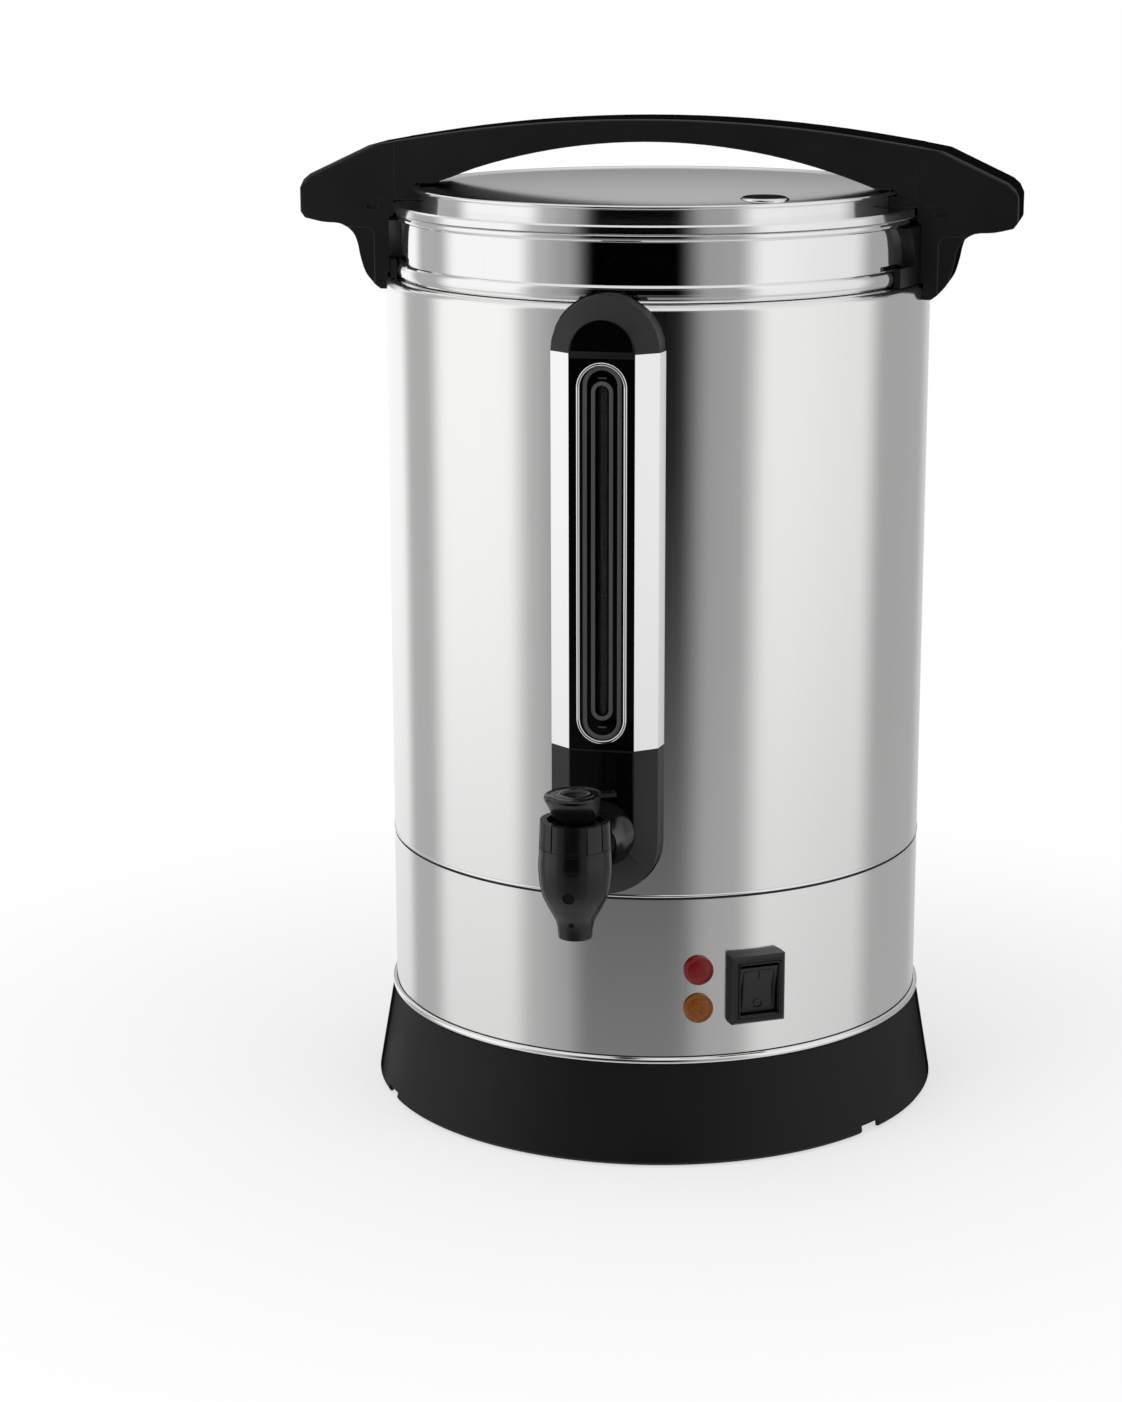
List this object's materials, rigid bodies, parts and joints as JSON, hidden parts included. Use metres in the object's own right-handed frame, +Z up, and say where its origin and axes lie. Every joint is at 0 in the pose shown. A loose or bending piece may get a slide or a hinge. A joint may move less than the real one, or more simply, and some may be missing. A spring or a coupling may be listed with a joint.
{
  "type": "percolating coffee urn",
  "caption": "Tall cylindrical steel coffee urn with lift-off lid, arched carrying bar, side grips, front sight-glass column, lever tap, lamps and rocker switch on a flared base.",
  "frame": {"origin": "on the floor, on the urn's upright axis", "axes": "+Z up, -Y toward the tap and the sight-glass column, +X toward the right side grip seen from the tap"},
  "size_m": [0.357, 0.3731, 0.4938],
  "materials": {
    "black_plastic": "moulded black nylon, fine matte grain",
    "column_black": "satin black moulding",
    "gloss_black": "high gloss black insert",
    "grip_black": "satin black moulded grip",
    "tap_black": "satin black moulded tap",
    "switch_black": "semi-gloss black frame",
    "rocker_black": "gloss black rocker",
    "body_steel": "satin stainless sheet",
    "lid_steel": "polished stainless sheet",
    "bright_steel": "mirror-bright stainless",
    "chrome_trim": "satin chrome strip",
    "zinc_steel": "zinc-plated steel",
    "screw_steel": "stainless fasteners",
    "spring_steel": "drawn spring wire",
    "pin_metal": "nickel-plated pins",
    "cast_alloy": "cast aluminium",
    "heater_sheath": "heat-tinted sheath",
    "white_ceramic": "steatite block",
    "wire_red": "silicone-sleeved leads",
    "lamp_red": "translucent red lens",
    "lamp_amber": "translucent amber lens",
    "gauge_grey": "grey printed frame",
    "clear_tube": "clear sight tube",
    "rubber_black": "black rubber",
    "seal_silicone": "food-grade silicone"
  },
  "bodies": {
    "urn": {"base_skirt": "black_plastic", "base_plate": "zinc_steel", "foot_ring": "rubber_black", "base_screws": "screw_steel", "housing": "body_steel", "seam_band": "bright_steel", "outer_shell": "body_steel", "tank": "bright_steel", "heater": "cast_alloy", "heater_clamp": "zinc_steel", "warming_element": "heater_sheath", "thermostats": "black_plastic", "thermal_fuse": "zinc_steel", "terminal_block": "white_ceramic", "wires": "wire_red", "power_inlet": "black_plastic", "inlet_pins": "pin_metal", "inlet_screws": "screw_steel", "switch_frame": "switch_black", "switch_body": "black_plastic", "lamp_red": "lamp_red", "lamp_amber": "lamp_amber", "lamp_nuts": "screw_steel", "gauge_cap": "column_black", "cap_plate": "gloss_black", "gauge_chassis": "black_plastic", "gauge_trim_left": "chrome_trim", "gauge_trim_right": "chrome_trim", "gauge_panel": "gloss_black", "gauge_backing": "gloss_black", "gauge_bezel": "chrome_trim", "gauge_frames": "gauge_grey", "sight_tube": "clear_tube", "tube_gaskets": "rubber_black", "tap_housing": "column_black", "tap_plate": "gloss_black", "column_screws": "screw_steel", "tap_shank": "bright_steel", "tap_nut": "screw_steel", "tap_washers": "seal_silicone", "tap_body": "tap_black", "tap_bonnet": "tap_black", "tap_spring": "spring_steel", "grip_left": "grip_black", "grip_right": "grip_black", "saddle_left": "grip_black", "saddle_right": "grip_black", "grip_screws": "screw_steel"},
    "lid_seal": {"lid_gasket": "seal_silicone"},
    "lid": {"lid_cover": "lid_steel", "lid_bar": "grip_black", "lid_screws": "screw_steel"},
    "percolator": {"pump_stem": "bright_steel", "coffee_basket": "bright_steel"},
    "spreader": {"basket_spreader": "bright_steel"},
    "lever": {"tap_lever": "tap_black", "lever_pins": "pin_metal"},
    "plunger": {"tap_stem": "bright_steel", "seat_cup": "seal_silicone"},
    "rocker": {"switch_rocker": "rocker_black"}
  },
  "joints": [
    {"name": "lid_lift", "type": "slide", "parent": "urn", "child": "lid_seal", "axis": [0, 0, 1], "range_m": [0, 0.12]},
    {"name": "lid_twist", "type": "hinge", "parent": "lid_seal", "child": "lid", "pos_m": [0, 0, 0.449], "axis": [0, 0, 1], "range_deg": [0, 40]},
    {"name": "percolator_lift", "type": "slide", "parent": "urn", "child": "percolator", "axis": [0, 0, 1], "range_m": [0, 0.012]},
    {"name": "spreader_lift", "type": "slide", "parent": "percolator", "child": "spreader", "axis": [0, 0, 1], "range_m": [0, 0.015]},
    {"name": "tap_lever", "type": "hinge", "parent": "urn", "child": "lever", "pos_m": [0, -0.217, 0.198], "axis": [1, 0, 0], "range_deg": [0, 28], "stiffness_Nm_per_rad": 0.05, "springref_deg": -17.19},
    {"name": "tap_stem", "type": "slide", "parent": "urn", "child": "plunger", "axis": [0, 0, 1], "range_m": [0, 0.00235], "deforming": ["tap_spring"]},
    {"name": "rocker_tilt", "type": "hinge", "parent": "urn", "child": "rocker", "pos_m": [0.07025, -0.11832, 0.0875], "axis": [-0.8599, -0.5105, 0], "range_deg": [0, 14]}
  ],
  "couplings": [
    {"joint": "tap_lever", "follows": "tap_stem", "rad_per_m": 208.2}
  ]
}
